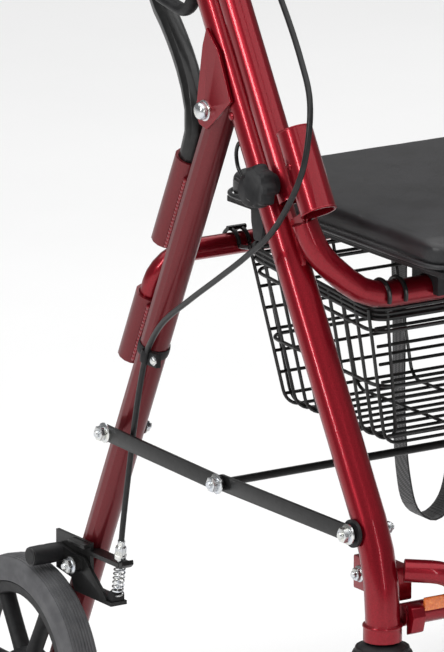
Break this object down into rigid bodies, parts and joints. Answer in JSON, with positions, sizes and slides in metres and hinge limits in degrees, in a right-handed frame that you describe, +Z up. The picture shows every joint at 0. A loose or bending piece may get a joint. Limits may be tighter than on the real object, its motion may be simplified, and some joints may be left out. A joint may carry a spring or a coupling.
{
  "type": "rollator",
  "caption": "Folding wheeled walking frame with a flip-up padded seat, wire basket, backrest hoop, height-adjustable handles, cable brakes and swivelling front wheels.",
  "frame": {"origin": "on the floor under the middle of the frame, at the middle of the bounding box in X and Y", "axes": "+X forwards to the swivelling wheels, +Y to the user's left, +Z up"},
  "size_m": [0.647, 0.65, 0.862],
  "materials": {
    "red_paint": "metallic cherry red lacquer, gloss",
    "black_steel": "black powder coat, satin",
    "black_plastic": "moulded, fine texture",
    "zinc": "bright zinc plate",
    "brass": "polished",
    "tyre_grey": "solid polyurethane, matte grey",
    "vinyl": "fine-grained vinyl",
    "webbing": "woven flat webbing",
    "wire": "plastic dip over steel wire, gloss",
    "cable_sheath": "smooth plastic sheath"
  },
  "bodies": {
    "front_frame": {"front_leg_right": "red_paint", "front_leg_left": "red_paint", "handle_receiver_right": "red_paint", "handle_receiver_left": "red_paint", "pivot_bracket_right": "red_paint", "pivot_bracket_left": "red_paint", "front_socket_right": "red_paint", "front_socket_left": "red_paint", "footrest_arm_right": "red_paint", "footrest_arm_left": "red_paint", "front_crossbar": "red_paint", "foot_crossbar": "red_paint"},
    "rear_frame": {"rear_leg_right": "red_paint", "rear_leg_left": "red_paint", "axle_bolt_right": "zinc", "axle_bolt_left": "zinc", "brake_bracket_right": "black_steel", "brake_bracket_left": "black_steel", "brake_cable_lower_right": "cable_sheath", "brake_cable_lower_left": "cable_sheath", "rear_crossbar": "red_paint", "backrest_hoop": "black_steel", "backrest_pad": "vinyl"},
    "seat": {"seat_board": "black_plastic", "seat_pad": "vinyl"},
    "basket_body": {"basket": "wire"},
    "strap_body": {"strap": "webbing"},
    "front_links": {"front_link_right": "black_steel", "front_link_left": "black_steel", "cross_rod": "black_steel"},
    "rear_links": {"rear_link_right": "black_steel", "rear_link_left": "black_steel"},
    "rear_wheel_right": {"rear_tyre_right": "tyre_grey", "rear_hub_right": "black_plastic"},
    "rear_wheel_left": {"rear_tyre_left": "tyre_grey", "rear_hub_left": "black_plastic"},
    "caster_right": {"caster_fork_right": "black_plastic"},
    "caster_left": {"caster_fork_left": "black_plastic"},
    "caster_wheel_right": {"caster_tyre_right": "tyre_grey", "caster_hub_right": "black_plastic"},
    "caster_wheel_left": {"caster_tyre_left": "tyre_grey", "caster_hub_left": "black_plastic"},
    "handle_right": {"handle_tube_right": "black_steel", "grip_right": "black_plastic", "brake_housing_right": "black_plastic", "brake_cable_upper_right": "cable_sheath"},
    "handle_left": {"handle_tube_left": "black_steel", "grip_left": "black_plastic", "brake_housing_left": "black_plastic", "brake_cable_upper_left": "cable_sheath"},
    "lever_right": {"brake_lever_right": "black_plastic"},
    "lever_left": {"brake_lever_left": "black_plastic"},
    "brake_right": {"brake_arm_right": "black_steel"},
    "brake_left": {"brake_arm_left": "black_steel"},
    "knob_right": {"height_knob_right": "black_plastic"},
    "knob_left": {"height_knob_left": "black_plastic"},
    "button_right": {"snap_button_right": "brass"},
    "button_left": {"snap_button_left": "brass"},
    "foot_flap_right": {"footplate_right": "black_plastic"},
    "foot_flap_left": {"footplate_left": "black_plastic"}
  },
  "joints": [
    {"name": "frame_fold", "type": "hinge", "parent": "front_frame", "child": "rear_frame", "pos_m": [0.0314, 0, 0.637], "axis": [0, -1, 0], "range_deg": [0, 24], "deforming": ["brake_cable_lower_right", "brake_cable_lower_left"]},
    {"name": "seat_flip", "type": "hinge", "parent": "front_frame", "child": "seat", "pos_m": [0.168, 0, 0.5], "axis": [0, 1, 0], "range_deg": [0, 68]},
    {"name": "basket_level", "type": "hinge", "parent": "rear_frame", "child": "basket_body", "pos_m": [-0.063, 0, 0.494], "axis": [0, -1, 0], "range_deg": [-24, 0]},
    {"name": "strap_level", "type": "hinge", "parent": "rear_frame", "child": "strap_body", "pos_m": [-0.063, 0, 0.494], "axis": [0, -1, 0], "range_deg": [-24, 0]},
    {"name": "front_link_turn", "type": "hinge", "parent": "front_frame", "child": "front_links", "pos_m": [0.247, 0, 0.331], "axis": [0, -1, 0], "range_deg": [0, 55.7]},
    {"name": "rear_link_turn", "type": "hinge", "parent": "rear_frame", "child": "rear_links", "pos_m": [-0.1129, 0, 0.333], "axis": [0, -1, 0], "range_deg": [-69.1, 0]},
    {"name": "rear_wheel_spin_right", "type": "hinge", "parent": "rear_frame", "child": "rear_wheel_right", "pos_m": [-0.2235, -0.304, 0.1], "axis": [0, 1, 0], "continuous": true},
    {"name": "rear_wheel_spin_left", "type": "hinge", "parent": "rear_frame", "child": "rear_wheel_left", "pos_m": [-0.2235, 0.304, 0.1], "axis": [0, 1, 0], "continuous": true},
    {"name": "caster_swivel_right", "type": "hinge", "parent": "front_frame", "child": "caster_right", "pos_m": [0.2655, -0.27, 0.24], "axis": [0, 0, 1], "continuous": true},
    {"name": "caster_swivel_left", "type": "hinge", "parent": "front_frame", "child": "caster_left", "pos_m": [0.2655, 0.27, 0.24], "axis": [0, 0, 1], "continuous": true},
    {"name": "caster_wheel_spin_right", "type": "hinge", "parent": "caster_right", "child": "caster_wheel_right", "pos_m": [0.2235, -0.27, 0.1], "axis": [0, 1, 0], "continuous": true},
    {"name": "caster_wheel_spin_left", "type": "hinge", "parent": "caster_left", "child": "caster_wheel_left", "pos_m": [0.2235, 0.27, 0.1], "axis": [0, 1, 0], "continuous": true},
    {"name": "handle_height_right", "type": "slide", "parent": "front_frame", "child": "handle_right", "axis": [-0.5081, 0, 0.8613], "range_m": [0, 0.1], "deforming": ["brake_cable_upper_right"]},
    {"name": "handle_height_left", "type": "slide", "parent": "front_frame", "child": "handle_left", "axis": [-0.5081, 0, 0.8613], "range_m": [0, 0.1], "deforming": ["brake_cable_upper_left"]},
    {"name": "brake_squeeze_right", "type": "hinge", "parent": "handle_right", "child": "lever_right", "pos_m": [-0.014, -0.27, 0.781], "axis": [0, 1, 0], "range_deg": [0, 15], "stiffness_Nm_per_rad": 1.5},
    {"name": "brake_squeeze_left", "type": "hinge", "parent": "handle_left", "child": "lever_left", "pos_m": [-0.014, 0.27, 0.781], "axis": [0, 1, 0], "range_deg": [0, 15], "stiffness_Nm_per_rad": 1.5},
    {"name": "brake_press_right", "type": "hinge", "parent": "rear_frame", "child": "brake_right", "pos_m": [-0.164, -0.2885, 0.205], "axis": [0, -1, 0], "range_deg": [0, 7.05]},
    {"name": "brake_press_left", "type": "hinge", "parent": "rear_frame", "child": "brake_left", "pos_m": [-0.164, 0.2885, 0.205], "axis": [0, -1, 0], "range_deg": [0, 7.05]},
    {"name": "knob_turn_right", "type": "hinge", "parent": "front_frame", "child": "knob_right", "pos_m": [0.1279, -0.27, 0.59448], "axis": [0, 1, 0], "range_deg": [0, 720]},
    {"name": "knob_turn_left", "type": "hinge", "parent": "front_frame", "child": "knob_left", "pos_m": [0.1279, 0.27, 0.59448], "axis": [0, 1, 0], "range_deg": [0, 720]},
    {"name": "button_press_right", "type": "slide", "parent": "rear_frame", "child": "button_right", "axis": [0.9031, 0, -0.4293], "range_m": [0, 0.003], "stiffness_N_per_m": 600},
    {"name": "button_press_left", "type": "slide", "parent": "rear_frame", "child": "button_left", "axis": [0.9031, 0, -0.4293], "range_m": [0, 0.003], "stiffness_N_per_m": 600},
    {"name": "footplate_turn_right", "type": "hinge", "parent": "front_frame", "child": "foot_flap_right", "pos_m": [0.2875, -0.067, 0.15], "axis": [0, 1, 0], "range_deg": [0, 90]},
    {"name": "footplate_turn_left", "type": "hinge", "parent": "front_frame", "child": "foot_flap_left", "pos_m": [0.2875, 0.067, 0.15], "axis": [0, 1, 0], "range_deg": [0, 90]}
  ],
  "couplings": [
    {"joint": "basket_level", "follows": "frame_fold", "ratio": -1},
    {"joint": "strap_level", "follows": "frame_fold", "ratio": -1},
    {"joint": "front_link_turn", "follows": "frame_fold", "ratio": 2.3205},
    {"joint": "rear_link_turn", "follows": "frame_fold", "ratio": -2.8783},
    {"joint": "brake_press_right", "follows": "brake_squeeze_right", "ratio": 0.47},
    {"joint": "brake_press_left", "follows": "brake_squeeze_left", "ratio": 0.47}
  ]
}
